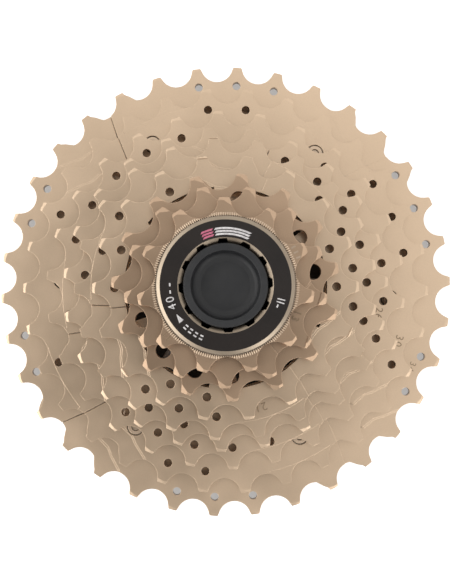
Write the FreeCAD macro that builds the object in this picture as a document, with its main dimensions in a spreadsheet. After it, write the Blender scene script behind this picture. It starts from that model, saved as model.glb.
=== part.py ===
import FreeCAD, Part
import math
import os
import Sketcher

# Nine-speed bicycle cassette, 11 to 34 teeth, held on a splined plastic shipping sleeve.
# Frame: millimetres, Z along the cassette's axis with the lockring up, the origin on the axis in
# the rear face of the carrier hub, X and Y in the plane of the sprockets.

doc = FreeCAD.newDocument("CassetteSprocket")
sheet = doc.addObject("Spreadsheet::Sheet", "Sizes")


# ---------------------------------------------------------------- driving dimensions
class Size:
    """A number together with the spreadsheet formula that it comes from."""

    def __init__(self, value, text):
        self.value, self.text = float(value), text

    def __add__(self, other):
        other = as_size(other)
        return Size(self.value + other.value, f"({self.text} + {other.text})")

    def __sub__(self, other):
        other = as_size(other)
        return Size(self.value - other.value, f"({self.text} - {other.text})")

    def __mul__(self, other):
        other = as_size(other)
        return Size(self.value * other.value, f"({self.text} * {other.text})")

    def __truediv__(self, other):
        other = as_size(other)
        return Size(self.value / other.value, f"({self.text} / {other.text})")

    def __neg__(self):
        return Size(-self.value, f"(-1 * {self.text})")


def as_size(number):
    return number if isinstance(number, Size) else Size(number, f"{number:.6g}")


def sine(angle):
    angle = as_size(angle)
    return Size(math.sin(math.radians(angle.value)), f"sin({angle.text} * 1 deg)")


def cosine(angle):
    angle = as_size(angle)
    return Size(math.cos(math.radians(angle.value)), f"cos({angle.text} * 1 deg)")


rows = []


def cell(alias, value):
    rows.append(alias)
    row = str(len(rows))
    sheet.set("A" + row, alias)
    sheet.set("B" + row, str(value))
    sheet.setAlias("B" + row, alias)
    return Size(value, "Sizes." + alias)


chain_pitch = cell("chain_pitch", 12.7)
root_drop = cell("root_drop", 3.88)             # pitch circle down to the bottom of a tooth gap
tip_rise = cell("tip_rise", 0.75)               # pitch circle up to a tooth's tip
gullet_arc = cell("gullet_arc", 4.95)           # radius of the tooth gap's floor
tip_width = cell("tip_width", 2.5)              # tooth's width at its tip
tip_bevel = cell("tip_bevel", 1.7)              # radial length of the bevel behind a tooth
tip_back_cut = cell("tip_back_cut", 0.44)       # thickness that it takes off the tip
front_bevel = cell("front_bevel", 0.7)          # the shorter bevel on the front face
front_cut = cell("front_cut", 0.2)
facet_skew_small = cell("facet_skew_small", 35)  # turn of the front facet, smallest three sprockets
facet_skew_large = cell("facet_skew_large", 13)  # and all the larger ones
facet_drop = cell("facet_drop", 0.45)           # its shortest radial length on the larger ones
facet_slope = cell("facet_slope", 17)
facet_width = cell("facet_width", 7.0)
plate = cell("plate_thickness", 1.78)
spacing = cell("sprocket_spacing", 4.34)
play = cell("axial_play", 0.02)                 # free gap between two loose pieces

rear_step = cell("rear_step", 1.0)              # carrier hub's rear face to the largest sprocket
hole_dia = cell("index_hole_diameter", 2.5)
big_hole_dia = cell("relief_hole_diameter", 4.4)
ramp_depth = cell("ramp_depth", 0.4)            # depth of the pressed shift ramps
ramp_edge = cell("ramp_edge_width", 0.6)        # half-deep border along a ramp's curved edge
ramp_edge_depth = cell("ramp_edge_depth", 0.2)
groove_width = cell("ramp_groove_width", 0.36)  # narrow groove at the foot of some ramps' steps
groove_depth = cell("ramp_groove_depth", 0.85)

bore = cell("bore_radius", 17.3)                # between the spline tabs
tab_tip = cell("tab_tip_radius", 16.2)
tab_width = cell("tab_width", 4.0)
tabs = cell("tab_count", 9)
fit_gap = cell("spline_clearance", 0.06)

ring_bore = cell("outer_ring_bore", 46.0)       # open inside of the two largest sprockets
mid_ring_bore = cell("middle_ring_bore", 31.0)
hub_radius = cell("carrier_hub_radius", 22.5)
arms = cell("arm_count", 6)
arm_width = cell("arm_width", 9.0)
arm_angle = cell("arm_angle", 56.8)
outer_rivets = cell("outer_rivet_circle", 49.6)
inner_rivets = cell("inner_rivet_circle", 34.8)
rivet_dia = cell("rivet_shank_diameter", 3.2)
rivet_head_dia = cell("rivet_head_diameter", 4.5)
rivet_head = cell("rivet_head_height", 0.66)
rivet_tail = cell("rivet_tail_height", 0.35)
rivet_seat_dia = cell("rivet_seat_diameter", 5.3)
rivet_seat = cell("rivet_seat_depth", 0.6)
rivet_fit = cell("rivet_clearance", 0.03)

window_out = cell("window_outer_radius", 28.3)
window_in = cell("window_inner_radius", 21.6)
window_half = cell("window_half_angle", 22.0)
window_angle = cell("window_angle", 58.6)

spacer_out = cell("spacer_outer_radius", 20.8)
collar_thirteen = cell("collar_radius_thirteen", 20.4)
collar_eleven = cell("collar_radius_eleven", 18.3)

sleeve_root = cell("sleeve_groove_radius", 16.1)
sleeve_length = cell("sleeve_length", 36.3)
sleeve_hollow = cell("sleeve_hollow_radius", 13.2)
sleeve_thread = cell("sleeve_thread_radius", 15.38)
guide_low = cell("plug_guide_bottom", 21.0)
guide_high = cell("plug_guide_top", 26.0)
guide_bore = cell("plug_guide_radius", 11.11)

washer_in = cell("washer_inner_radius", 15.5)
washer_out = cell("washer_outer_radius", 18.35)
washer_thick = cell("washer_thickness", 0.45)
washer_teeth = cell("washer_serrations", 144)

flange_out = cell("lockring_flange_radius", 17.95)
flange_thick = cell("lockring_flange_thickness", 2.1)
rim_bevel = cell("lockring_rim_bevel", 0.95)
thread_major = cell("lockring_thread_radius", 15.3)
thread_depth = cell("lockring_thread_depth", 0.55)
thread_pitch = cell("lockring_thread_pitch", 1.0583)
thread_length = cell("lockring_thread_length", 7.6)
socket_land = cell("socket_land_radius", 11.25)
socket_notch = cell("socket_notch_radius", 12.15)
socket_floor = cell("socket_notch_floor_width", 1.9)
socket_mouth = cell("socket_notch_mouth_width", 3.0)
socket_bevel = cell("socket_bevel_radius", 12.45)
socket_bevel_deep = cell("socket_bevel_depth", 1.1)
sockets = cell("socket_notch_count", 12)
socket_angle = cell("socket_angle", 3.4)

plug_out = cell("plug_radius", 11.05)
plug_dish = cell("plug_dish_radius", 9.05)
plug_wall_drop = cell("plug_dish_depth", 4.2)
plug_floor = cell("plug_floor_thickness", 1.6)
plug_low = cell("plug_bottom", 21.5)
plug_set_back = cell("plug_set_back", 0.35)
doc.recompute()


# ---------------------------------------------------------------- modelling helpers
def new_body(label, height=None):
    """A body named after its node, lifted by height."""
    body = doc.addObject("PartDesign::Body", "Body_" + label)
    body.Label = label
    body.Placement = FreeCAD.Placement(FreeCAD.Vector(0, 0, 0), FreeCAD.Rotation())
    if height is not None:
        body.setExpression("Placement.Base.z", as_size(height).text)
    return body


def new_sketch(body, name, plane="XY_Plane", turn=0.0, height=0.0):
    """A sketch on one of the body's own planes, turned about and lifted along the normal."""
    sketch = body.newObject("Sketcher::SketchObject", name)
    origin_plane = [f for f in body.Origin.OriginFeatures if f.Role == plane][0]
    sketch.AttachmentSupport = [(origin_plane, "")]
    sketch.MapMode = "FlatFace"
    turn, height = as_size(turn), as_size(height)
    spin = FreeCAD.Rotation(FreeCAD.Vector(0, 0, 1), turn.value)
    sketch.AttachmentOffset = FreeCAD.Placement(FreeCAD.Vector(0, 0, height.value), spin)
    if height.text.startswith("(") or "Sizes" in height.text:
        sketch.setExpression("AttachmentOffset.Base.z", height.text)
    return sketch


def bind(sketch, *constraint):
    """Adds one dimension whose last entry is a Size, and binds it to the spreadsheet."""
    kind, rest, size = constraint[0], constraint[1:-1], as_size(constraint[-1])
    index = sketch.addConstraint(Sketcher.Constraint(kind, *rest, size.value))
    if "Sizes" in size.text:
        sketch.setExpression(f"Constraints[{index}]", size.text)


def pin_point(sketch, edge, end, x, y):
    bind(sketch, "DistanceX", edge, end, x)
    bind(sketch, "DistanceY", edge, end, y)


def polygon(sketch, points):
    """A closed outline of straight edges through points given as pairs of Size."""
    points = [(as_size(x), as_size(y)) for x, y in points]
    first = sketch.GeometryCount
    flat = [FreeCAD.Vector(x.value, y.value, 0) for x, y in points]
    count = len(flat)
    for i in range(count):
        sketch.addGeometry(Part.LineSegment(flat[i], flat[(i + 1) % count]), False)
    for i in range(count):
        sketch.addConstraint(
            Sketcher.Constraint("Coincident", first + i, 2, first + (i + 1) % count, 1))
    for i, (x, y) in enumerate(points):
        pin_point(sketch, first + i, 1, x, y)


def circle(sketch, x, y, radius):
    x, y, radius = as_size(x), as_size(y), as_size(radius)
    edge = sketch.addGeometry(
        Part.Circle(FreeCAD.Vector(x.value, y.value, 0), FreeCAD.Vector(0, 0, 1), radius.value), False)
    bind(sketch, "Radius", edge, radius)
    pin_point(sketch, edge, 3, x, y)


def ring_sector(sketch, inner, outer, half_angle):
    """A closed part of a ring, centred on the sketch's Y axis."""
    right = math.radians(90 - half_angle.value)
    left = math.radians(90 + half_angle.value)
    axis = FreeCAD.Vector(0, 0, 1)
    rim = sketch.addGeometry(
        Part.ArcOfCircle(Part.Circle(FreeCAD.Vector(), axis, outer.value), right, left), False)
    floor = sketch.addGeometry(
        Part.ArcOfCircle(Part.Circle(FreeCAD.Vector(), axis, inner.value), right, left), False)
    sides = []
    for angle in (right, left):
        near = FreeCAD.Vector(inner.value * math.cos(angle), inner.value * math.sin(angle), 0)
        far = FreeCAD.Vector(outer.value * math.cos(angle), outer.value * math.sin(angle), 0)
        sides.append(sketch.addGeometry(Part.LineSegment(near, far), False))
    for arc, radius in ((rim, outer), (floor, inner)):
        sketch.addConstraint(Sketcher.Constraint("Coincident", arc, 3, -1, 1))
        bind(sketch, "Radius", arc, radius)
    for side, arc_end, sign in ((sides[0], 1, 1.0), (sides[1], 2, -1.0)):
        sketch.addConstraint(Sketcher.Constraint("Coincident", side, 1, floor, arc_end))
        sketch.addConstraint(Sketcher.Constraint("Coincident", side, 2, rim, arc_end))
        bind(sketch, "DistanceX", side, 1, inner * sine(half_angle) * sign)
        bind(sketch, "DistanceX", side, 2, outer * sine(half_angle) * sign)


def revolve(body, name, outline):
    """A full turn about Z of a closed outline of (radius, height) points."""
    sketch = new_sketch(body, name + "_outline", "XZ_Plane")
    polygon(sketch, outline)
    feature = body.newObject("PartDesign::Revolution", name)
    feature.Profile = sketch
    feature.ReferenceAxis = (sketch, ["V_Axis"])
    feature.Angle = 360
    body.Tip = feature
    doc.recompute()
    return feature


def pad(body, name, sketch, length):
    before = body.Shape.Volume if body.Tip else 0.0
    feature = body.newObject("PartDesign::Pad", name)
    feature.Profile = sketch
    feature.Length = as_size(length).value
    feature.setExpression("Length", as_size(length).text)
    body.Tip = feature
    doc.recompute()
    if body.Shape.Volume <= before + 1e-6:
        raise RuntimeError(f"{body.Label}: {name} adds nothing")
    return feature


def pocket(body, name, sketch, depth=None, both_ways=False):
    """Cuts upward from the sketch, right through unless a depth is given, or half to each side."""
    before = body.Shape.Volume
    feature = body.newObject("PartDesign::Pocket", name)
    feature.Profile = sketch
    feature.Reversed = not both_ways
    feature.Midplane = both_ways
    if depth is None:
        feature.Type = "ThroughAll"
    else:
        feature.Length = as_size(depth).value
        feature.setExpression("Length", as_size(depth).text)
    body.Tip = feature
    doc.recompute()
    if body.Shape.Volume >= before - 1e-6:
        raise RuntimeError(f"{body.Label}: {name} cuts nothing")
    return feature


def pattern(body, name, feature, count):
    """Repeats a feature evenly round the axis."""
    before = body.Shape.Volume
    ring = body.newObject("PartDesign::PolarPattern", name)
    ring.Originals = [feature]
    ring.Axis = ([f for f in body.Origin.OriginFeatures if f.Role == "Z_Axis"][0], [""])
    ring.Angle = 360
    ring.Occurrences = int(count.value)
    ring.setExpression("Occurrences", count.text)
    body.Tip = ring
    doc.recompute()
    if abs(body.Shape.Volume - before) < 1e-6:
        raise RuntimeError(f"{body.Label}: {name} changes nothing")
    return ring


def polar(radius, angle):
    return as_size(radius) * cosine(angle), as_size(radius) * sine(angle)


# ---------------------------------------------------------------- sprocket geometry
def pitch_radius(teeth):
    return chain_pitch / (sine(as_size(180) / teeth) * 2)


def spline_tabs(body, low, height):
    """The narrow tabs that key a bore to the freehub's grooves."""
    sketch = new_sketch(body, "Tab_outline", height=low)
    half = tab_width / 2
    root = bore + 0.5
    polygon(sketch, [(-half, tab_tip), (half, tab_tip), (half, root), (-half, root)])
    tab = pad(body, "Tab", sketch, height)
    pattern(body, "Tabs", tab, tabs)


def tooth_gaps(body, teeth, phase):
    """Cuts the rounded gaps between the teeth; phase is the angle of the first tooth."""
    root = pitch_radius(teeth) - root_drop
    tip = pitch_radius(teeth) + tip_rise
    side = as_size(72)
    middle = root + gullet_arc
    flank_x, flank_y = gullet_arc * sine(side), middle - gullet_arc * cosine(side)
    tip_angle = as_size(180) / teeth - as_size(math.degrees(1.0)) * tip_width / (tip * 2)
    edge_x, edge_y = tip * sine(tip_angle), tip * cosine(tip_angle)
    far_x = flank_x + (edge_x - flank_x) * 4
    far_y = flank_y + (edge_y - flank_y) * 4

    sketch = new_sketch(body, "Gap_outline", turn=phase + 180.0 / teeth.value - 90)
    centre = FreeCAD.Vector(0, middle.value, 0)
    start = math.radians(270 - side.value)
    end = math.radians(270 + side.value)
    floor = sketch.addGeometry(Part.ArcOfCircle(
        Part.Circle(centre, FreeCAD.Vector(0, 0, 1), gullet_arc.value), start, end), False)
    corners = [(flank_x, flank_y), (far_x, far_y), (-far_x, far_y), (-flank_x, flank_y)]
    flat = [FreeCAD.Vector(x.value, y.value, 0) for x, y in corners]
    lines = [sketch.addGeometry(Part.LineSegment(flat[i], flat[i + 1]), False) for i in range(3)]
    for a, a_end, b, b_end in ((floor, 2, lines[0], 1), (lines[0], 2, lines[1], 1),
                               (lines[1], 2, lines[2], 1), (lines[2], 2, floor, 1)):
        sketch.addConstraint(Sketcher.Constraint("Coincident", a, a_end, b, b_end))
    pin_point(sketch, floor, 3, 0, middle)
    bind(sketch, "Radius", floor, gullet_arc)
    bind(sketch, "DistanceY", lines[0], 1, flank_y)
    bind(sketch, "DistanceY", lines[2], 2, flank_y)
    pin_point(sketch, lines[0], 2, far_x, far_y)
    pin_point(sketch, lines[1], 2, -far_x, far_y)
    gap = pocket(body, "Gap", sketch)
    pattern(body, "Gaps", gap, teeth)


def slanting_facets(body, teeth, phase, top, skew, drop):
    """One slanting cut across the front of each tooth, from its counter-clockwise corner inward."""
    tip = pitch_radius(teeth) + tip_rise
    middle = tip - drop - tip_width / 2 * sine(skew) / cosine(skew)
    near = middle * cosine(skew)
    reach = as_size(4)
    sketch = new_sketch(body, "Facet_outline", "XZ_Plane")
    spin = FreeCAD.Rotation(FreeCAD.Vector(0, 1, 0), phase - skew.value)
    aside = -middle * sine(skew)
    sketch.AttachmentOffset = FreeCAD.Placement(spin.multVec(FreeCAD.Vector(0, 0, aside.value)), spin)
    polygon(sketch, [(near, top), (near + reach, top + 0.2),
                     (near + reach, top - reach * sine(facet_slope) / cosine(facet_slope))])
    facet = pocket(body, "Facet", sketch, facet_width, both_ways=True)
    pattern(body, "Facets", facet, teeth)


def shift_fins(body, teeth, phase, indices):
    """The long low flank on the clockwise side of the teeth at each shift ramp."""
    root = pitch_radius(teeth) - root_drop
    tip = pitch_radius(teeth) + tip_rise
    share = 34.0 / teeth.value
    sketch = new_sketch(body, "Fin_outline", height=0.3)
    for index in indices:
        angle = phase + 360.0 / teeth.value * index
        corners = [(tip - 0.3, -0.8), (tip - 2.1, -2.25), (root + 0.45, -3.55), (root - 0.6, -2.0)]
        polygon(sketch, [polar(radius, angle + share * offset) for radius, offset in corners])
    pad(body, "Fin", sketch, plate - 0.6)


def step_line(teeth, start, skew):
    """Where a ramp's step crosses the gap circle, and the directions along and across the step."""
    root = pitch_radius(teeth) - root_drop
    leaning = start - skew
    return polar(root, start), (cosine(leaning), sine(leaning)), (-sine(leaning), cosine(leaning))


def along_step(line, outward, aside=0):
    """A point so far outward along a ramp's step and so far to its counter-clockwise side."""
    (x, y), along, across = line
    return x + along[0] * outward + across[0] * aside, y + along[1] * outward + across[1] * aside


def shift_ramps(body, teeth, starts, skew, top):
    """Shallow recesses pressed into the front face, each from a sharp step to a stepped curved edge."""
    root = pitch_radius(teeth) - root_drop
    share = 34.0 / teeth.value
    for name, depth, wider in (("Ramp", ramp_depth, 0.0), ("Ramp_edge", ramp_edge_depth, ramp_edge.value)):
        sketch = new_sketch(body, name + "_outline", height=top - depth)
        for start in starts:
            line = step_line(teeth, start, skew)
            corners = [along_step(line, -10.5), along_step(line, 8)]
            for outward, turn in ((8, 27), (0, 20.5), (-2.5, 16.5), (-4, 14.5), (-4.6, 10.5), (-10.5, 7)):
                radius = root + outward - wider
                corners.append(polar(radius, start + turn * share))
            polygon(sketch, corners)
        pocket(body, name, sketch, depth + 1)


def step_grooves(body, teeth, starts, skew, top):
    """A narrow groove along the foot of a ramp's step."""
    sketch = new_sketch(body, "Groove_outline", height=top - groove_depth)
    for start in starts:
        line = step_line(teeth, start, skew)
        polygon(sketch, [along_step(line, -9), along_step(line, 8),
                         along_step(line, 8, groove_width), along_step(line, -9, groove_width)])
    pocket(body, "Step_grooves", sketch, groove_depth + 1)


def lowered_teeth(body, teeth, starts, top):
    """The two teeth before each ramp stand a little back, behind a curved step at their roots."""
    tooth_angle = as_size(360) / teeth
    inner = pitch_radius(teeth) - root_drop - 0.2
    outer = pitch_radius(teeth) + tip_rise + 1
    for start in starts:
        sketch = new_sketch(body, "Lowered_outline", turn=start - tooth_angle.value - 0.5 - 90,
                            height=top - ramp_depth)
        ring_sector(sketch, inner, outer, tooth_angle - 1.5)
        pocket(body, "Lowered_teeth", sketch, ramp_depth + 1)


def index_holes(body, teeth, phase, indices, drop, diameter):
    """Small holes on the centre lines of some of the teeth."""
    circle_radius = pitch_radius(teeth) - drop
    sketch = new_sketch(body, "Hole_outline")
    for index in indices:
        x, y = polar(circle_radius, phase + 360.0 / teeth.value * index)
        circle(sketch, x, y, diameter / 2)
    pocket(body, "Holes", sketch)


def windows(body, inner, outer, half_angle, angle):
    sketch = new_sketch(body, "Window_outline", turn=angle.value - 90)
    ring_sector(sketch, inner, outer, half_angle)
    window = pocket(body, "Window", sketch)
    pattern(body, "Windows", window, arms)


def rivet_holes(body, circle_radius, seated=False):
    """Holes for the rivets, with a shallow seat in the front face where the heads lie."""
    sketch = new_sketch(body, "Rivet_hole_outline", turn=arm_angle.value)
    circle(sketch, circle_radius, 0, rivet_dia / 2 + rivet_fit)
    hole = pocket(body, "Rivet_hole", sketch)
    pattern(body, "Rivet_holes", hole, arms)
    if seated:
        sketch = new_sketch(body, "Rivet_seat_outline", turn=arm_angle.value, height=plate - rivet_seat)
        circle(sketch, circle_radius, 0, rivet_seat_dia / 2)
        seat = pocket(body, "Rivet_seat", sketch, rivet_seat + 1)
        pattern(body, "Rivet_seats", seat, arms)


def toothed_plate(label, height, teeth, inner, collar=None, collar_depth=None):
    """A sprocket's blank: a flat disc with bevelled rim, and on some a collar behind it."""
    body = new_body(label, height)
    tip = pitch_radius(teeth) + tip_rise
    outline = [(inner, 0), (tip - tip_bevel, 0), (tip, tip_back_cut), (tip, plate - front_cut),
               (tip - front_bevel, plate), (inner, plate)]
    if collar is not None:
        outline = [(inner, -collar_depth), (collar, -collar_depth), (collar, 0)] + outline[1:]
    revolve(body, "Blank", outline)
    return body


# ---------------------------------------------------------------- the stack of sprockets
# Tooth count, angle of a tooth, numbers of the teeth that have an index hole, depth of the hole
# circle below the pitch circle, teeth with a long flank, where the shift ramps start, which of
# their steps have a groove at the foot, and how far the steps lean from the radius.
SPROCKETS = [
    ("sprocket_34t", 34, 2.26, (1, 2, 3, 7, 8, 9, 14, 15, 18, 19, 24, 25, 26, 31, 32), 5.1,
     (3, 4, 5, 11, 12, 13, 20, 21, 22, 28, 29, 30), (39.5, 123.4, 218.9, 304.4), (123.4, 218.9), 15),
    ("sprocket_30t", 30, 11.62, (0, 1, 2, 6, 7, 12, 16, 20, 21, 27), 5.6,
     (3, 4, 10, 11, 18, 19, 25, 26), (41.5, 125.1, 221.0, 306.1), (125.1, 221.0), 13),
    ("sprocket_26t", 26, 9.40, (0, 2, 3, 7, 8, 9, 10, 11, 13, 16, 17, 18, 19, 20, 24, 25), 5.7,
     (5, 6, 14, 22), (195.8, 306.5), (195.8,), 8),
    ("sprocket_23t", 23, 2.41, (0, 1, 2, 3, 4, 11, 15, 16, 22), 5.5,
     (5, 6, 13, 20), (72.2, 306.5), (72.2,), 5),
    ("sprocket_21t", 21, 8.81, (0, 1, 2, 3, 8, 9, 10, 13, 14, 15, 20), 5.9,
     (4, 11, 18), (70.0, 187.0, 307.5), (187.0,), 9),
    ("sprocket_18t", 18, 0.34, (0, 1, 6, 8, 9, 12, 13), 5.6,
     (4, 10, 16), (69.0, 190.0, 308.3), (190.0,), 4),
    ("sprocket_15t", 15, 9.69, (0, 1, 3, 8, 9, 10, 11), 6.3, (4, 14), (), (), 0),
    ("sprocket_13t", 13, 20.40, (), 0.0, (10,), (307.5,), (), 0),
    ("sprocket_11t", 11, 25.50, (), 0.0, (), (), (), 0),
]
TEETH = {label: cell("teeth_count_" + label[9:11] + "x", count)
         for label, count, *rest in SPROCKETS}
doc.recompute()

LOWERED = ("sprocket_30t", "sprocket_26t", "sprocket_21t")    # where two teeth stand back
levels = {}
for place, row in enumerate(SPROCKETS):
    levels[row[0]] = rear_step + spacing * place
stack_top = levels["sprocket_11t"] + plate


def finish_sprocket(body, row, splined, collar_depth=0):
    """Teeth, holes, ramps and spline of one sprocket."""
    label, count, phase, holes, hole_drop, fins, ramps, grooved, skew = row
    teeth = TEETH[label]
    tooth_gaps(body, teeth, phase)
    if teeth.value < 16:
        slanting_facets(body, teeth, phase, plate, facet_skew_small, as_size(0))
    else:
        slanting_facets(body, teeth, phase, plate, facet_skew_large, facet_drop)
    if fins:
        shift_fins(body, teeth, phase, fins)
    if holes:
        index_holes(body, teeth, phase, holes, as_size(hole_drop),
                    big_hole_dia if count == 15 else hole_dia)
    if ramps:
        shift_ramps(body, teeth, ramps, skew, plate)
    if label in LOWERED:
        lowered_teeth(body, teeth, ramps, plate)
    if grooved:
        step_grooves(body, teeth, grooved, skew, plate)
    if splined:
        spline_tabs(body, -as_size(collar_depth), plate + collar_depth)


rows_by_label = {row[0]: row for row in SPROCKETS}
bodies = []

# The two largest sprockets are open rings riveted to the arms of the rear carrier.
for label in ("sprocket_34t", "sprocket_30t"):
    body = toothed_plate(label, levels[label], TEETH[label], ring_bore)
    rivet_holes(body, outer_rivets, seated=label == "sprocket_30t")
    finish_sprocket(body, rows_by_label[label], False)
    bodies.append(body)

# The next two are open rings on the front carrier.
for label in ("sprocket_26t", "sprocket_23t"):
    body = toothed_plate(label, levels[label], TEETH[label], mid_ring_bore)
    rivet_holes(body, inner_rivets, seated=label == "sprocket_23t")
    finish_sprocket(body, rows_by_label[label], False)
    bodies.append(body)

# Two loose sprockets with their own splined hub and six windows.
for label in ("sprocket_21t", "sprocket_18t"):
    body = toothed_plate(label, levels[label], TEETH[label], bore)
    windows(body, window_in, window_out, window_half, window_angle)
    finish_sprocket(body, rows_by_label[label], True)
    bodies.append(body)

# The three smallest: a plain splined disc, then two with the spacer collar in one piece.
body = toothed_plate("sprocket_15t", levels["sprocket_15t"], TEETH["sprocket_15t"], bore)
finish_sprocket(body, rows_by_label["sprocket_15t"], True)
bodies.append(body)
for label, collar in (("sprocket_13t", collar_thirteen), ("sprocket_11t", collar_eleven)):
    depth = spacing - plate - play
    body = toothed_plate(label, levels[label], TEETH[label], bore, collar, depth)
    finish_sprocket(body, rows_by_label[label], True, depth)
    bodies.append(body)


# ---------------------------------------------------------------- carriers, spacers and rivets
def carrier(label, low, high, arm_low, reach, rivet_circle):
    """A splined hub with six arms that lie between two ring sprockets."""
    body = new_body(label, low)
    length = high - low
    revolve(body, "Hub", [(bore, 0), (hub_radius, 0), (hub_radius, length), (bore, length)])
    sketch = new_sketch(body, "Arm_outline", turn=arm_angle.value, height=arm_low - low)
    half, nose = arm_width / 2, arm_width / 4
    near = hub_radius - 2.5
    polygon(sketch, [(near, -half), (reach - nose, -half), (reach, -nose), (reach, nose),
                     (reach - nose, half), (near, half)])
    arm = pad(body, "Arm", sketch, spacing - plate)
    pattern(body, "Arms", arm, arms)
    rivet_holes(body, rivet_circle)
    spline_tabs(body, 0, length)
    return body


bodies.append(carrier("carrier_rear", as_size(0), levels["sprocket_26t"] - play,
                      levels["sprocket_34t"] + plate, outer_rivets + 3.1, outer_rivets))
bodies.append(carrier("carrier_front", levels["sprocket_26t"], levels["sprocket_23t"] + plate,
                      levels["sprocket_26t"] + plate, as_size(38.4), inner_rivets))


def spacer(label, below, above):
    """A plain ring that fills the gap between two loose pieces."""
    low = levels[below] + plate + play
    high = levels[above] - play
    body = new_body(label, low)
    length = high - low
    revolve(body, "Ring", [(bore, 0), (spacer_out, 0), (spacer_out, length), (bore, length)])
    return body


bodies.append(spacer("spacer_23_21", "sprocket_23t", "sprocket_21t"))
bodies.append(spacer("spacer_21_18", "sprocket_21t", "sprocket_18t"))
bodies.append(spacer("spacer_18_15", "sprocket_18t", "sprocket_15t"))


# A rivet set is six separate solids, so it is built from plain cylinders: a tail, a shank and a
# dished head on each rivet.
def cylinder(name, radius, height, x, y, z):
    solid = doc.addObject("Part::Cylinder", name)
    for prop, size in (("Radius", radius), ("Height", height)):
        solid.setExpression(prop, as_size(size).text)
    for prop, size in (("x", x), ("y", y), ("z", z)):
        solid.setExpression("Placement.Base." + prop, as_size(size).text)
    return solid


def rivets(label, lower, upper, circle_radius):
    low = levels[lower]
    high = levels[upper] + plate - rivet_seat
    pieces = []
    for index in range(int(arms.value)):
        x, y = polar(circle_radius, arm_angle + 60 * index)
        mark = f"{label}_{index + 1}"
        parts = [
            cylinder(mark + "_tail", rivet_head_dia / 2, rivet_tail, x, y, low - rivet_tail),
            cylinder(mark + "_shank", rivet_dia / 2, high - low + rivet_tail, x, y, low - rivet_tail / 2),
            cylinder(mark + "_head", rivet_head_dia / 2, rivet_head, x, y, high)]
        whole = doc.addObject("Part::MultiFuse", mark)
        whole.Shapes = parts
        whole.Refine = True
        dish = cylinder(mark + "_dish", rivet_dia / 2 - 0.35, rivet_head, x, y, high + rivet_head * 0.3)
        cut = doc.addObject("Part::Cut", mark + "_formed")
        cut.Base, cut.Tool = whole, dish
        pieces.append(cut)
    group = doc.addObject("Part::Compound", label + "_group")
    group.Links = pieces
    group.Label = label
    doc.recompute()
    return group


groups = [rivets("rivets_outer", "sprocket_34t", "sprocket_30t", outer_rivets),
          rivets("rivets_inner", "sprocket_26t", "sprocket_23t", inner_rivets)]


# ---------------------------------------------------------------- sleeve, washer, lockring, plug
# Shipping sleeve: a splined tube with a plain thread bore in front and a guide for the plug.
body = new_body("shipping_sleeve")
skin = bore - fit_gap
revolve(body, "Tube", [(sleeve_hollow, 0), (skin, 0), (skin, sleeve_length),
                       (sleeve_thread, sleeve_length), (sleeve_thread, guide_high),
                       (guide_bore, guide_high), (guide_bore, guide_low),
                       (sleeve_hollow, guide_low)])
sketch = new_sketch(body, "Groove_outline")
groove_half = tab_width / 2 + fit_gap
polygon(sketch, [(-groove_half, sleeve_root), (groove_half, sleeve_root),
                 (groove_half, skin + 1), (-groove_half, skin + 1)])
pattern(body, "Grooves", pocket(body, "Groove", sketch), tabs)
bodies.append(body)

# Serrated washer under the lockring's flange.
washer_base = stack_top + play
body = new_body("lockring_washer", washer_base)
revolve(body, "Disc", [(washer_in, 0), (washer_out, 0), (washer_out, washer_thick),
                       (washer_in, washer_thick)])
sketch = new_sketch(body, "Nick_outline")
nick = as_size(0.32)
polygon(sketch, [(-nick, washer_out + 0.3), (0, washer_out - 0.35), (nick, washer_out + 0.3)])
pattern(body, "Nicks", pocket(body, "Nick", sketch), washer_teeth)
bodies.append(body)

# Lockring: a flanged ring with a coarse-cut spigot below and a twelve-notch tool socket.
flange_base = washer_base + washer_thick
body = new_body("lockring", flange_base)
crest, trough = thread_major, thread_major - thread_depth
relief = as_size(0.9)
outline = [(socket_land, -thread_length)]
outline.append((trough - 0.3, -thread_length))
turns = 6
for turn in range(turns):
    low = -relief - thread_pitch * (turns - turn)
    outline.append((trough, low + thread_pitch * 0.1))
    outline.append((crest, low + thread_pitch * 0.5))
    outline.append((crest, low + thread_pitch * 0.65))
outline.append((trough, -relief))
outline.append((trough, as_size(0)))
outline.append((flange_out - 0.2, as_size(0)))
outline.append((flange_out, as_size(0.2)))
outline.append((flange_out, flange_thick - rim_bevel * 0.6))
outline.append((flange_out - rim_bevel, flange_thick))
outline.append((socket_bevel, flange_thick))
outline.append((socket_land, flange_thick - socket_bevel_deep))
revolve(body, "Ring", outline)
sketch = new_sketch(body, "Notch_outline", turn=socket_angle.value, height=-thread_length - 1)
floor_half, mouth_half = socket_floor / 2, socket_mouth / 2
polygon(sketch, [(-mouth_half, socket_land - 0.1), (mouth_half, socket_land - 0.1),
                 (floor_half, socket_notch), (-floor_half, socket_notch)])
pattern(body, "Notches", pocket(body, "Notch", sketch), sockets)
bodies.append(body)

# Plug: a cup whose closed, dished front end shows inside the lockring.
plug_top = flange_base + flange_thick - plug_set_back
body = new_body("retaining_plug", plug_low)
height = plug_top - plug_low
floor_top = height - plug_wall_drop
revolve(body, "Cup", [(0, floor_top - plug_floor), (plug_dish - 0.6, floor_top - plug_floor),
                      (plug_dish, 0), (plug_out - 0.3, 0), (plug_out, 0.3), (plug_out, height - 0.25),
                      (plug_out - 0.25, height), (plug_dish, height), (plug_dish - 0.1, floor_top + 1.7),
                      (plug_dish - 0.5, floor_top + 0.8), (plug_dish - 1.3, floor_top + 0.2),
                      (plug_dish - 2.5, floor_top), (0, floor_top)])
bodies.append(body)


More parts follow.
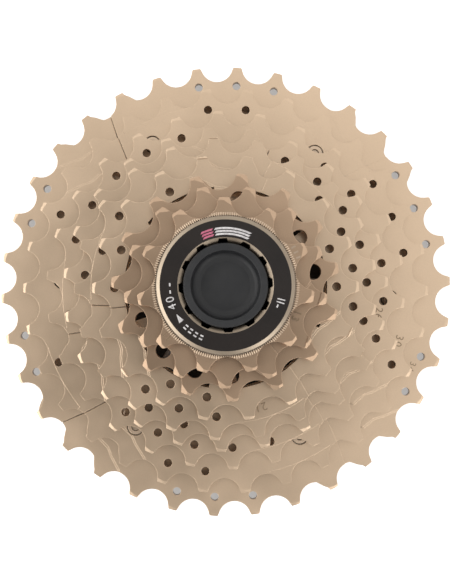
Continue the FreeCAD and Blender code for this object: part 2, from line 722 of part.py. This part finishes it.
# ---------------------------------------------------------------- check and write
doc.recompute()
for item in doc.Objects:
    if "Invalid" in item.State or "Error" in item.State:
        raise RuntimeError(f"{item.Label} failed: {item.State}")
os.makedirs("parts", exist_ok=True)
for item in bodies + groups:
    shape = item.Shape
    if shape.isNull() or not shape.isValid():
        raise RuntimeError(f"{item.Label} has no valid shape")
    shape.exportStep(os.path.join("parts", item.Label + ".step"))
    box = shape.BoundBox
    print(f"{item.Label:18s} solids {len(shape.Solids)}  volume {shape.Volume:9.1f}"
          f"  z {box.ZMin:6.2f} {box.ZMax:6.2f}  width {box.XLength:6.2f}")
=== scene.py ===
import math

import bmesh
import bpy
from mathutils import Matrix, Vector


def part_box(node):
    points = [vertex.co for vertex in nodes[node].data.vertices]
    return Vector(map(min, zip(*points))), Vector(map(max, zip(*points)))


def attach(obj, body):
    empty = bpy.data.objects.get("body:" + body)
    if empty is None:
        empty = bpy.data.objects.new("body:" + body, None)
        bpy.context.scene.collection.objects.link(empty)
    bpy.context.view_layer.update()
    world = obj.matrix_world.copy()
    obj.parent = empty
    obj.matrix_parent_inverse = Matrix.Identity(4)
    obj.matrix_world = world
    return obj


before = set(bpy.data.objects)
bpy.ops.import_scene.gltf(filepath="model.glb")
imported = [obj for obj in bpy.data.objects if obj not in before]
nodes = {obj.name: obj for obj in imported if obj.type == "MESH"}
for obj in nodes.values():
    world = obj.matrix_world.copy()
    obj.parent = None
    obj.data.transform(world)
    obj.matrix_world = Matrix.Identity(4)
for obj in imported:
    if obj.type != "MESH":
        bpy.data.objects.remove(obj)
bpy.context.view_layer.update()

MM = 0.001

# Plating: noise scales in waves per metre and bump depths in metres.
CLOUD_SCALE, SPECK_SCALE, DENT_SCALE = 55, 2600, 90
BRUSH_SCALE, BRUSH_TURN = (420, 5200, 420), (0, 0, 0.35)
DENT_DEPTH, BRUSH_DEPTH, SPECK_DEPTH = 0.0006, 0.00002, 0.00003

# Rounded edges of the CAD pieces, in millimetres, and how the bevel finds them, in degrees.
EDGE_CARRIER, EDGE_SPACER, EDGE_RIVET, EDGE_PLASTIC = 0.3, 0.15, 0.08, 0.15
EDGE_SEGMENTS, SHARP_ANGLE, FLAT_ANGLE, WELD = 2, 22, 0.6, 0.01

# Lockring finish, in millimetres: the painted face lies between two radii and this far down.
PAINT_OUTER, PAINT_INNER, PAINT_DEPTH = 17.02, 12.44, 0.12

# Print on the lockring, in millimetres; a digit's height is this share of its font size.
PRINT_THICK, DIGIT_HEIGHT = 0.012, 0.69
STRIPES_INNER, STRIPE_WIDE, STRIPE_LEAN = (13.05, 13.8, 14.55), 0.5, -0.9
PRINT_RADIUS, PRINT_SIZE = 14.7, 2.1
DASH_ROWS, DASH_WIDE, DASH_HALF, DOUBLE_DASHES_FROM = (14.2, 15.1), 0.4, 1.7, 220

# Stamped tooth counts, drawn as flat darker digits that paint the shade of the stamped hollows: node,
# body, digits, radius, degrees and size in millimetres.
STAMPS = (
    ("sprocket_34t", "rear_cluster", "34", 62.1, 337.6, 1.9),
    ("sprocket_30t", "rear_cluster", "30", 54.6, 343.4, 2.3),
    ("sprocket_26t", "front_cluster", "26", 46.0, 351.0, 2.1),
    ("sprocket_21t", "ring_21t", "21", 35.3, 286.4, 2.3),
    ("sprocket_13t", "ring_13t", "13", 20.5, 337.4, 1.9),
    ("sprocket_11t", "ring_11t", "11", 20.1, 220.6, 1.6),
)
DIGIT_STEP = 0.86

# Outline of the smallest sprocket: teeth, first tooth's angle, radius and centre of a tooth gap.
TEETH_11, PHASE_11, GAP_ARC, GAP_CENTRE = 11, 25.5, 4.95, 23.61
NO_GAP = 99.0

# Knurled ring on it: radii and heights in millimetres, half a ridge's width in degrees.
RIDGES, RIDGE_HALF = 200, 0.47
RIDGE_INNER, RIDGE_OUTER, RIDGE_MARGIN = 18.38, 19.3, 0.12
CREST_INNER, CREST_OUTER = 0.12, 0.05
# Painted shadow: a near-black flat sheet on the face where the gap at the knurl's inner edge lies in
# shade.
SHADOW_RING_INNER, SHADOW_RING_OUTER, SHADOW_RING_THICK, SHADOW_RING_STEPS = 18.37, 18.62, 0.02, 240
BARS, BAR_HALF, BAR_INNER, BAR_OUTER, BAR_THICK = (21.2, 25.4, 29.6), 0.65, 19.75, 21.0, 0.04

# Floor: half its width and its drop in metres, then its painted shadow: how its paper darkens and glows
# less towards the axis.
FLOOR_HALF, FLOOR_DROP = 4.0, 0.0001
ZONE_START, ZONE_END = 50 * MM, 70 * MM
ZONE_SHADOW, ZONE_HALF_SHADOW, ZONE_HALF_SHADOW_END, ZONE_WHITE = 0.35, 0.45, 0.755, 0.78
FLOOR_SHADOW, FLOOR_HALF_SHADOW, FLOOR_WHITE = (0.09, 0.08, 0.07), (0.46, 0.41, 0.36), (0.9, 0.9, 0.9)
GLOW_SHADOW, GLOW_HALF_SHADOW, GLOW_WHITE = (0.0,) * 3, (0.36,) * 3, (0.62,) * 3

# Sky overhead: brightness straight up, its growth with tilt, its limit, and its pull to two sides.
SKY_DIM, SKY_OPEN, SKY_WALL, SKY_SHADE = -0.15, 8.5, 1.12, 0.5
SKY_RIGHT, SKY_UP = 1.3, 1.0
SKY_LOWEST = 0.2
SKY_TINT = (1.0, 0.985, 0.965, 1)

# Sky panels: brightness all round, added to the left, below and low down, kept share in two gaps.
PANEL, PANEL_LEFT, PANEL_BELOW, PANEL_LOW = 0.88, 0.8, 0.75, 2.2
PANEL_GAP, PANEL_DEEP_GAP = 0.52, 0.5

# Sky near the horizon: brightness, then what is added to both sides, to the top and to the left.
HORIZON, HORIZON_SIDES, HORIZON_UP, HORIZON_LEFT = 0.62, 0.25, 0.15, 0.1

# Compass sectors of the sky: middle in degrees, then the cosines where each starts and is full.
SECTOR_SHADE, SECTOR_LOW = (225, -0.2, 0.7), (225, -0.25, 0.3)
SECTOR_LEFT, SECTOR_BELOW = (195, 0.84, 0.95), (306, 0.86, 0.96)
SECTOR_GAP, SECTOR_DEEP_GAP = (264, 0.84, 0.95), (272, 0.92, 0.97)

# Where they begin and end upwards: tangents of the tilt from overhead, then heights.
TILT_SHADE, TILT_PANELS, TILT_DEEP_GAP = (0.31, 0.49), (0.6, 0.85), (0.95, 1.1)
HEIGHT_LOW, HEIGHT_HORIZON = (0.44, 0.57), (0.22, 0.42)

# Camera: focal length and sensor in millimetres, place in metres, tip in degrees.
CAMERA_LENS, CAMERA_SENSOR = 44.2, 36
CAMERA_X, CAMERA_Y, CAMERA_AWAY, CAMERA_TIP = 0.0001, -0.00708, 0.2219, 1.65
CAMERA_NEAR, CAMERA_FAR = 0.01, 20


# ------------------------------------------------------------------ node helpers
class Shader:
    """A small wrapper that adds and links shader nodes."""

    def __init__(self, name):
        self.mat = bpy.data.materials.new(name)
        self.mat.use_nodes = True
        self.tree = self.mat.node_tree
        self.tree.nodes.clear()
        self.out = self.tree.nodes.new("ShaderNodeOutputMaterial")
        self.bsdf = self.tree.nodes.new("ShaderNodeBsdfPrincipled")
        self.tree.links.new(self.bsdf.outputs[0], self.out.inputs[0])
        self.coord = self.tree.nodes.new("ShaderNodeTexCoord")

    def add(self, kind, **settings):
        node = self.tree.nodes.new(kind)
        for key, value in settings.items():
            setattr(node, key, value)
        return node

    def link(self, a, b):
        self.tree.links.new(a, b)

    def mapped(self, scale, turn):
        node = self.add("ShaderNodeMapping")
        node.inputs["Scale"].default_value = scale
        node.inputs["Rotation"].default_value = turn
        self.link(self.coord.outputs["Object"], node.inputs[0])
        return node.outputs[0]

    def noise(self, scale, detail=3.0, rough=0.5, where=None):
        node = self.add("ShaderNodeTexNoise")
        node.inputs["Scale"].default_value = scale
        node.inputs["Detail"].default_value = detail
        node.inputs["Roughness"].default_value = rough
        self.link(where or self.coord.outputs["Object"], node.inputs["Vector"])
        return node.outputs["Fac"]

    def ramp(self, source, stops):
        node = self.add("ShaderNodeValToRGB")
        ramp = node.color_ramp
        while len(ramp.elements) < len(stops):
            ramp.elements.new(0.5)
        for element, (place, colour) in zip(ramp.elements, stops):
            element.position = place
            element.color = (*colour, 1)
        self.link(source, node.inputs[0])
        return node.outputs[0]

    def span(self, source, low, high, from_low=0.0, from_high=1.0):
        node = self.add("ShaderNodeMapRange")
        node.inputs["From Min"].default_value = from_low
        node.inputs["From Max"].default_value = from_high
        node.inputs["To Min"].default_value = low
        node.inputs["To Max"].default_value = high
        self.link(source, node.inputs[0])
        return node.outputs[0]

    def math(self, how, a, b=None):
        node = self.add("ShaderNodeMath", operation=how)
        for place, value in ((0, a), (1, b)):
            if value is None:
                continue
            if isinstance(value, (int, float)):
                node.inputs[place].default_value = value
            else:
                self.link(value, node.inputs[place])
        return node.outputs[0]

    def mix(self, factor, a, b):
        node = self.add("ShaderNodeMix", data_type="RGBA")
        for place, value in ((0, factor), (6, a), (7, b)):
            if isinstance(value, tuple):
                node.inputs[place].default_value = (*value, 1)
            else:
                self.link(value, node.inputs[place])
        return node.outputs[2]

    def bump(self, source, strength, distance, normal=None):
        node = self.add("ShaderNodeBump")
        node.inputs["Strength"].default_value = strength
        node.inputs["Distance"].default_value = distance
        self.link(source, node.inputs["Height"])
        if normal is not None:
            self.link(normal, node.inputs["Normal"])
        return node.outputs[0]

    def rounded(self, radius):
        """A normal that catches the light along worn edges."""
        node = self.add("ShaderNodeBevel", samples=6)
        node.inputs["Radius"].default_value = radius * MM
        return node.outputs[0]

    def paint_crevice_shade(self, colour, reach=6.0, clear=0.5):
        """Painted shade: darkens a colour to grey in holes and to near black in narrow gaps, from ambient
        occlusion.
        """
        shade = self.add("ShaderNodeAmbientOcclusion", samples=6)
        shade.inputs["Distance"].default_value = reach * MM
        shade_colour = self.ramp(shade.outputs["AO"],
                         [(0.03, (0.03, 0.018, 0.012)), (0.2, (0.24, 0.205, 0.18))])
        return self.mix(self.span(shade.outputs["AO"], 0.0, 1.0, 0.1, clear), shade_colour, colour)

    def from_axis(self):
        """Distance from the cassette's axis, and height above the floor."""
        split = self.add("ShaderNodeSeparateXYZ")
        self.link(self.coord.outputs["Object"], split.inputs[0])
        square = self.math("ADD", self.math("MULTIPLY", split.outputs[0], split.outputs[0]),
                           self.math("MULTIPLY", split.outputs[1], split.outputs[1]))
        return self.math("SQRT", square), split.outputs[2]

    def set(self, **values):
        for key, value in values.items():
            socket = self.bsdf.inputs[key.replace("_", " ")]
            if isinstance(value, (int, float)):
                socket.default_value = value
            else:
                self.link(value, socket)


def plated_steel(name, light, dark, rough=0.32, grain=0.2, fleck=0.06, edge=0.2):
    """Satin champagne nickel over stamped steel: cloudy plating, fine grain, soft tool marks and painted
    shade in holes and gaps.
    """
    m = Shader(name)
    cloud = m.noise(CLOUD_SCALE, 3, 0.55)
    speck = m.noise(SPECK_SCALE, 2, 0.6)
    brushed = m.noise(1, 3, 0.6, m.mapped(BRUSH_SCALE, BRUSH_TURN))
    tone = m.ramp(cloud, [(0.3, dark), (0.72, light)])
    fine = m.mix(m.span(speck, 0.0, 0.12, 0.35, 0.7), tone, tuple(c * 0.72 for c in dark))
    # Painted shade: the colour darkens in holes and gaps by ambient occlusion.
    m.set(Base_Color=m.paint_crevice_shade(fine), Metallic=1.0)
    m.set(Roughness=m.math("ADD", m.span(cloud, rough - 0.02, rough + 0.04, 0.3, 0.7),
                           m.span(speck, -0.01, 0.02, 0.3, 0.7)))
    dented = m.bump(m.noise(DENT_SCALE, 2, 0.5), 0.05, DENT_DEPTH, m.rounded(edge))
    grained = m.bump(brushed, grain, BRUSH_DEPTH, dented)
    m.set(Normal=m.bump(speck, fleck, SPECK_DEPTH, grained))
    return m.mat


def plain_metal(name, light, dark, rough):
    """Plain satin metal with a fine grain and painted shade darkening its gaps."""
    m = Shader(name)
    cloud = m.noise(120, 4, 0.6)
    speck = m.noise(3000, 2, 0.6)
    m.set(Base_Color=m.paint_crevice_shade(m.ramp(cloud, [(0.3, dark), (0.7, light)])), Metallic=1.0,
          Roughness=m.span(speck, rough - 0.06, rough + 0.1, 0.3, 0.7))
    m.set(Normal=m.bump(speck, 0.18, 0.00005))
    return m.mat


def plastic(name, light, dark, rough):
    """Moulded plastic with a fine matt grain."""
    m = Shader(name)
    cloud = m.noise(160, 3, 0.6)
    grain = m.noise(4200, 2, 0.5)
    m.set(Base_Color=m.ramp(cloud, [(0.3, dark), (0.7, light)]),
          Roughness=m.span(cloud, rough - 0.05, rough + 0.08, 0.3, 0.7))
    m.bsdf.inputs["Specular IOR Level"].default_value = 0.45
    m.set(Normal=m.bump(grain, 0.25, SPECK_DEPTH))
    return m.mat


def painted_lockring(name):
    """Black anodised face between two radii, bare champagne metal on the rim and in the socket."""
    m = Shader(name)
    radius, height = m.from_axis()
    face_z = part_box("lockring")[1].z
    outside = m.math("LESS_THAN", radius, PAINT_OUTER * MM)
    inside = m.math("GREATER_THAN", radius, PAINT_INNER * MM)
    top = m.math("GREATER_THAN", height, face_z - PAINT_DEPTH * MM)
    painted = m.math("MULTIPLY", m.math("MULTIPLY", outside, inside), top)
    cloud = m.noise(90, 3, 0.6)
    speck = m.noise(3200, 2, 0.6)
    bare = m.ramp(cloud, [(0.3, (0.36, 0.29, 0.22)), (0.7, (0.46, 0.38, 0.29))])
    black = m.ramp(cloud, [(0.3, (0.007, 0.0045, 0.0035)), (0.7, (0.015, 0.010, 0.008))])
    m.set(Base_Color=m.mix(painted, bare, black), Metallic=m.span(painted, 1.0, 0.0))
    m.set(Roughness=m.math("ADD", m.span(painted, 0.33, 0.36), m.span(speck, -0.03, 0.04, 0.3, 0.7)))
    m.set(Normal=m.bump(speck, 0.12, SPECK_DEPTH, m.rounded(0.2)))
    return m.mat


def print_ink(name, colour, tone):
    """Screen-printed ink, a little patchy where it has worn."""
    m = Shader(name)
    m.set(Base_Color=m.ramp(m.noise(1500, 3, 0.6), [(0.3, tone), (0.6, colour)]), Roughness=0.45)
    m.set(Normal=m.bump(m.noise(4000, 2, 0.5), 0.2, 0.00001))
    return m.mat


champagne = plated_steel("champagne_plate", (0.83, 0.635, 0.455), (0.77, 0.585, 0.415))
# Painted shade: a darker copy of the same champagne plating, standing for the dimmer reflection near the
# axis.
champagne_shaded = plated_steel("champagne_plate_shaded", (0.655, 0.465, 0.32), (0.595, 0.42, 0.285),
                               rough=0.315, grain=0.15, fleck=0.03)
rivet_metal = plated_steel("rivet_metal", (0.82, 0.64, 0.47), (0.74, 0.57, 0.42),
                           rough=0.34, edge=0.12)
alloy = plain_metal("carrier_alloy", (0.50, 0.48, 0.47), (0.38, 0.37, 0.36), 0.42)
spacer_alloy = plain_metal("spacer_alloy", (0.52, 0.51, 0.50), (0.42, 0.41, 0.40), 0.38)
washer_metal = plain_metal("washer_metal", (0.42, 0.34, 0.27), (0.32, 0.26, 0.20), 0.36)
knurl_metal = plain_metal("knurl_metal", (0.74, 0.58, 0.43), (0.64, 0.50, 0.37), 0.34)
knurl_shadow = plain_metal("knurl_shadow", (0.075, 0.05, 0.034), (0.045, 0.03, 0.02), 0.5)
stamp_shadow = plain_metal("stamp_shadow", (0.42, 0.31, 0.21), (0.33, 0.24, 0.16), 0.45)
white_ink = print_ink("white_ink", (0.72, 0.70, 0.70), (0.42, 0.40, 0.41))
pink_ink = print_ink("pink_ink", (0.62, 0.17, 0.26), (0.42, 0.09, 0.17))
ring_paint = painted_lockring("lockring_finish")
sleeve_plastic = plastic("sleeve_plastic", (0.024, 0.024, 0.026), (0.014, 0.014, 0.016), 0.5)
plug_plastic = plastic("plug_plastic", (0.026, 0.0265, 0.0285), (0.017, 0.018, 0.020), 0.46)


# ------------------------------------------------------------------ CAD nodes
def dress(node, material, edge_round=0.0):
    """Gives a CAD node its material and, without touching its mesh, rounded edges."""
    thing = nodes[node]
    thing.data.materials.clear()
    thing.data.materials.append(material)
    if edge_round:
        weld = thing.modifiers.new("weld", "WELD")
        weld.merge_threshold = WELD * MM
        flat = thing.modifiers.new("flat faces", "DECIMATE")
        flat.decimate_type = "DISSOLVE"
        flat.angle_limit = math.radians(FLAT_ANGLE)
        edge = thing.modifiers.new("edges", "BEVEL")
        edge.width = edge_round * MM
        edge.segments = EDGE_SEGMENTS
        edge.limit_method = "ANGLE"
        edge.angle_limit = math.radians(SHARP_ANGLE)
        edge.use_clamp_overlap = False
        edge.harden_normals = False
        edge.miter_outer = "MITER_ARC"


for label in ("34t", "30t", "26t", "23t", "21t", "18t"):
    dress("sprocket_" + label, champagne)
# The three smallest sprockets take the darker copy: painted shade near the axis.
for label in ("15t", "13t", "11t"):
    dress("sprocket_" + label, champagne_shaded)
for label in ("carrier_rear", "carrier_front"):
    dress(label, alloy, EDGE_CARRIER)
for label in ("spacer_23_21", "spacer_21_18", "spacer_18_15"):
    dress(label, spacer_alloy, EDGE_SPACER)
for label in ("rivets_outer", "rivets_inner"):
    dress(label, rivet_metal, EDGE_RIVET)
dress("lockring_washer", washer_metal)
dress("lockring", ring_paint)
dress("shipping_sleeve", sleeve_plastic, EDGE_PLASTIC)
dress("retaining_plug", plug_plastic, EDGE_PLASTIC)


# ------------------------------------------------------------------ printed and stamped marks
def polar(radius, degrees, height=0.0):
    """A point in metres from a radius and height in millimetres."""
    turn = math.radians(degrees)
    return Vector((radius * math.cos(turn), radius * math.sin(turn), height)) * MM


def add_piece(name, mesh, material, body):
    """Adds a mesh as a piece that moves with a body and belongs to a material slot."""
    thing = bpy.data.objects.new(name, mesh)
    bpy.context.scene.collection.objects.link(thing)
    mesh.materials.clear()
    mesh.materials.append(material)
    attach(thing, body)
    return thing


def band(shape, start, end, bottom, top, lean=0.0, steps=None):
    """Adds a closed strip along an arc; start and end are (angle, inner radius, outer radius)."""
    steps = steps or max(1, int(abs(end[0] - start[0]) / 1.5))
    rows = []
    for step in range(steps + 1):
        share = step / steps
        angle, inner, outer = (a + (b - a) * share for a, b in zip(start, end))
        rows.append([shape.verts.new(polar(radius, angle + shift, height)) for radius, shift, height in
                     ((inner, -lean, bottom), (outer, lean, bottom),
                      (outer, lean, top), (inner, -lean, top))])
    for a, b in zip(rows, rows[1:]):
        for k in range(4):
            shape.faces.new((a[k], a[(k + 1) % 4], b[(k + 1) % 4], b[k]))
    shape.faces.new(rows[0])
    shape.faces.new(rows[-1][::-1])


def finish_shape(name, shape, material, body):
    """Turns a drawn shape into a piece."""
    bmesh.ops.remove_doubles(shape, verts=shape.verts, dist=1e-7)
    bmesh.ops.recalc_face_normals(shape, faces=shape.faces)
    mesh = bpy.data.meshes.new(name)
    shape.to_mesh(mesh)
    shape.free()
    return add_piece(name, mesh, material, body)


def numeral(name, digit, body, material, radius, degrees, height, size):
    """One digit, its foot towards the axis, raised by a hair above a face."""
    text = bpy.data.curves.new(name, "FONT")
    text.body, text.size = digit, size / DIGIT_HEIGHT * MM
    text.align_x, text.align_y = "CENTER", "CENTER"
    text.extrude, text.resolution_u = PRINT_THICK / 2 * MM, 4
    source = bpy.data.objects.new(name + "_text", text)
    mesh = bpy.data.meshes.new_from_object(source)
    bpy.data.objects.remove(source)
    mesh.transform(Matrix.Translation(polar(radius, degrees, height))
                   @ Matrix.Rotation(math.radians(degrees - 90), 4, "Z"))
    add_piece(name, mesh, material, body)


def top_of(node):
    """Height of a CAD node's top in millimetres."""
    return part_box(node)[1].z / MM


ring_face = top_of("lockring")
print_top = ring_face + PRINT_THICK
for name, material, start, end in (("stripe_pink", pink_ink, 103.5, 115.5),
                                   ("stripe_white", white_ink, 64.0, 101.0)):
    shape = bmesh.new()
    for inner in STRIPES_INNER:
        band(shape, (start, inner, inner + STRIPE_WIDE), (end, inner, inner + STRIPE_WIDE),
             ring_face, print_top, lean=STRIPE_LEAN)
    finish_shape(name, shape, material, "lockring_body")

for place, (digit, degrees) in enumerate((("1", -14.4), ("1", -17.6), ("0", 194.5), ("4", 202.2))):
    numeral("print_numeral_%d" % (place + 1), digit, "lockring_body", white_ink,
            PRINT_RADIUS, degrees, ring_face + PRINT_THICK / 2, PRINT_SIZE)

shape = bmesh.new()
band(shape, (210.8, 14.62, 14.70), (219.6, 14.0, 15.4), ring_face, print_top)
for degrees in (-21.8, 179.5, 187.0, 226.6, 232.6, 238.8, 245.0):
    for inner in DASH_ROWS[:2 if degrees > DOUBLE_DASHES_FROM else 1]:
        outer = inner + DASH_WIDE
        band(shape, (degrees - DASH_HALF, inner, outer), (degrees + DASH_HALF, inner, outer),
             ring_face, print_top)
finish_shape("print_arrow_and_dashes", shape, white_ink, "lockring_body")

for node, body, digits, radius, degrees, size in STAMPS:
    step = math.degrees(size * DIGIT_STEP / radius)
    label = node.removeprefix("sprocket_")
    for place, digit in enumerate(digits):
        numeral("stamp_%s_%d" % (label, place + 1), digit, body, stamp_shadow,
                radius, degrees + step * (0.5 - place), top_of(node) + PRINT_THICK / 2, size)

# ------------------------------------------------------------------ knurled ring under the lockring
face = top_of("sprocket_11t")


def edge_of_smallest(degrees):
    """Radius of the smallest sprocket's outline, where a tooth gap cuts it back."""
    pitch = 360.0 / TEETH_11
    off = math.radians((degrees - PHASE_11) % pitch - pitch / 2)
    under = GAP_ARC ** 2 - (GAP_CENTRE * math.sin(off)) ** 2
    return GAP_CENTRE * math.cos(off) - math.sqrt(under) if under > 0 else NO_GAP


# Painted shadow: a thin near-black ring on the face standing for the shaded gap at the knurl's inner edge.
shape = bmesh.new()
band(shape, (0, SHADOW_RING_INNER, SHADOW_RING_OUTER), (360, SHADOW_RING_INNER, SHADOW_RING_OUTER),
     face, face + SHADOW_RING_THICK, steps=SHADOW_RING_STEPS)
finish_shape("knurl_groove_painted_shadow", shape, knurl_shadow, "ring_11t")
shape = bmesh.new()
for ridge in range(RIDGES):
    middle = ridge * 360.0 / RIDGES
    outer = min(RIDGE_OUTER, edge_of_smallest(middle) - RIDGE_MARGIN)
    foot = [shape.verts.new(polar(radius, middle + side * RIDGE_HALF, face)) for radius, side in
            ((RIDGE_INNER, -1), (outer, -1), (outer, 1), (RIDGE_INNER, 1))]
    crest = [shape.verts.new(polar(radius, middle, face + height)) for radius, height in
             ((RIDGE_INNER, CREST_INNER), (outer, CREST_OUTER))]
    for corners in ((foot[0], foot[1], crest[1], crest[0]), (foot[2], foot[3], crest[0], crest[1]),
                    (foot[1], foot[2], crest[1]), (foot[3], foot[0], crest[0]), foot[::-1]):
        shape.faces.new(corners)
finish_shape("knurl_ridges", shape, knurl_metal, "ring_11t")

shape = bmesh.new()
for degrees in BARS:
    band(shape, (degrees - BAR_HALF, BAR_INNER, BAR_OUTER), (degrees + BAR_HALF, BAR_INNER, BAR_OUTER),
         face, face + BAR_THICK)
finish_shape("stamp_bars", shape, knurl_metal, "ring_11t")


# ------------------------------------------------------------------ stage, light, camera
def floor():
    """White glowing paper, with a painted shadow that makes it dark and grey where it is seen through the
    sprockets.
    """
    mesh = bpy.data.meshes.new("floor")
    corners = ((-1, -1), (1, -1), (1, 1), (-1, 1))
    mesh.from_pydata([(x * FLOOR_HALF, y * FLOOR_HALF, 0) for x, y in corners], [], [(0, 1, 2, 3)])
    thing = bpy.data.objects.new("floor", mesh)
    bpy.context.scene.collection.objects.link(thing)
    thing.location.z = -FLOOR_DROP
    m = Shader("floor_paper")
    away, _ = m.from_axis()
    # Painted shadow: the paper's colour and glow fall to dark and grey under the cassette.
    shadow_zone = m.span(away, 0.0, 1.0, ZONE_START, ZONE_END)
    m.set(Base_Color=m.ramp(shadow_zone, [(ZONE_SHADOW, FLOOR_SHADOW), (ZONE_HALF_SHADOW, FLOOR_HALF_SHADOW),
                                   (ZONE_HALF_SHADOW_END, FLOOR_HALF_SHADOW), (ZONE_WHITE, FLOOR_WHITE)]), Roughness=0.9)
    m.bsdf.inputs["Emission Color"].default_value = (1, 1, 1, 1)
    m.set(Emission_Strength=m.ramp(shadow_zone, [(ZONE_SHADOW, GLOW_SHADOW), (ZONE_HALF_SHADOW, GLOW_HALF_SHADOW),
                                          (ZONE_HALF_SHADOW_END, GLOW_HALF_SHADOW), (ZONE_WHITE, GLOW_WHITE)]))
    thing.data.materials.append(m.mat)


def studio_world():
    """A white light tent: dimmer straight overhead and brighter to the upper right."""
    world = bpy.data.worlds.new("studio")
    bpy.context.scene.world = world
    world.use_nodes = True
    m = Shader.__new__(Shader)
    m.tree = world.node_tree
    back = m.tree.nodes["Background"]
    split = m.add("ShaderNodeSeparateXYZ")
    m.link(m.add("ShaderNodeTexCoord").outputs["Generated"], split.inputs[0])
    x, y, z = split.outputs
    rise = m.math("MAXIMUM", z, SKY_LOWEST)
    right, up = m.math("DIVIDE", x, rise), m.math("DIVIDE", y, rise)
    ring = m.math("ADD", m.math("MULTIPLY", right, right), m.math("MULTIPLY", up, up))
    lean = m.math("ADD", m.math("MULTIPLY", right, SKY_RIGHT), m.math("MULTIPLY", up, SKY_UP))
    overhead = m.math("ADD", m.math("ADD", m.math("MULTIPLY", ring, SKY_OPEN), SKY_DIM), lean)
    flat = m.math("SQRT", m.math("ADD", m.math("MULTIPLY", x, x), m.math("MULTIPLY", y, y)))
    flat = m.math("MAXIMUM", flat, 0.001)
    east, north = m.math("DIVIDE", x, flat), m.math("DIVIDE", y, flat)

    def towards(sector, low, high):
        """How much a direction looks into a compass sector, as a value from low to high."""
        degrees, start, end = sector
        turn = math.radians(degrees)
        return m.span(m.math("ADD", m.math("MULTIPLY", east, math.cos(turn)),
                             m.math("MULTIPLY", north, math.sin(turn))), low, high, start, end)

    slant = m.math("SQRT", ring)
    shade = m.math("MULTIPLY", towards(SECTOR_SHADE, 0.0, SKY_SHADE), m.span(slant, 1.0, 0.0, *TILT_SHADE))
    wall = m.math("SUBTRACT", SKY_WALL, shade)
    overhead = m.math("MAXIMUM", m.math("MINIMUM", overhead, wall), 0.0)
    panels = m.math("ADD", towards(SECTOR_LEFT, PANEL, PANEL + PANEL_LEFT),
                    towards(SECTOR_BELOW, 0.0, PANEL_BELOW))
    low_light = m.math("MULTIPLY", m.span(z, 1.0, 0.0, *HEIGHT_LOW), towards(SECTOR_LOW, 0.0, PANEL_LOW))
    panels = m.math("ADD", panels, low_light)
    panels = m.math("MULTIPLY", panels, towards(SECTOR_GAP, 1.0, PANEL_GAP))
    gap = m.math("MULTIPLY", towards(SECTOR_DEEP_GAP, 0.0, 1.0 - PANEL_DEEP_GAP),
                 m.span(slant, 0.0, 1.0, *TILT_DEEP_GAP))
    panels = m.math("MULTIPLY", panels, m.math("SUBTRACT", 1.0, gap))
    steep = m.span(slant, 0.0, 1.0, *TILT_PANELS)
    tent = m.add("ShaderNodeMix", data_type="FLOAT")
    for place, source in ((0, steep), (2, overhead), (3, panels)):
        m.link(source, tent.inputs[place])
    horizon = m.math("ADD", m.math("MULTIPLY", m.math("MULTIPLY", east, east), HORIZON_SIDES),
                     m.math("ADD", m.math("MULTIPLY", north, HORIZON_UP),
                            m.math("MULTIPLY", east, -HORIZON_LEFT)))
    horizon = m.math("ADD", horizon, HORIZON)
    high_up = m.span(z, 0.0, 1.0, *HEIGHT_HORIZON)
    blend = m.add("ShaderNodeMix", data_type="FLOAT")
    m.link(high_up, blend.inputs[0])
    m.link(horizon, blend.inputs[2])
    m.link(tent.outputs[0], blend.inputs[3])
    back.inputs[0].default_value = SKY_TINT
    m.link(blend.outputs[0], back.inputs[1])


floor()
studio_world()

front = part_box("sprocket_34t")[1].z
camera_data = bpy.data.cameras.new("camera")
camera_data.lens, camera_data.sensor_width = CAMERA_LENS, CAMERA_SENSOR
camera_data.clip_start, camera_data.clip_end = CAMERA_NEAR, CAMERA_FAR
camera = bpy.data.objects.new("camera", camera_data)
bpy.context.scene.collection.objects.link(camera)
camera.location = (CAMERA_X, CAMERA_Y, front + CAMERA_AWAY)
camera.rotation_euler = (math.radians(CAMERA_TIP), 0, 0)
bpy.context.scene.camera = camera
bpy.context.scene.view_settings.view_transform = "Standard"
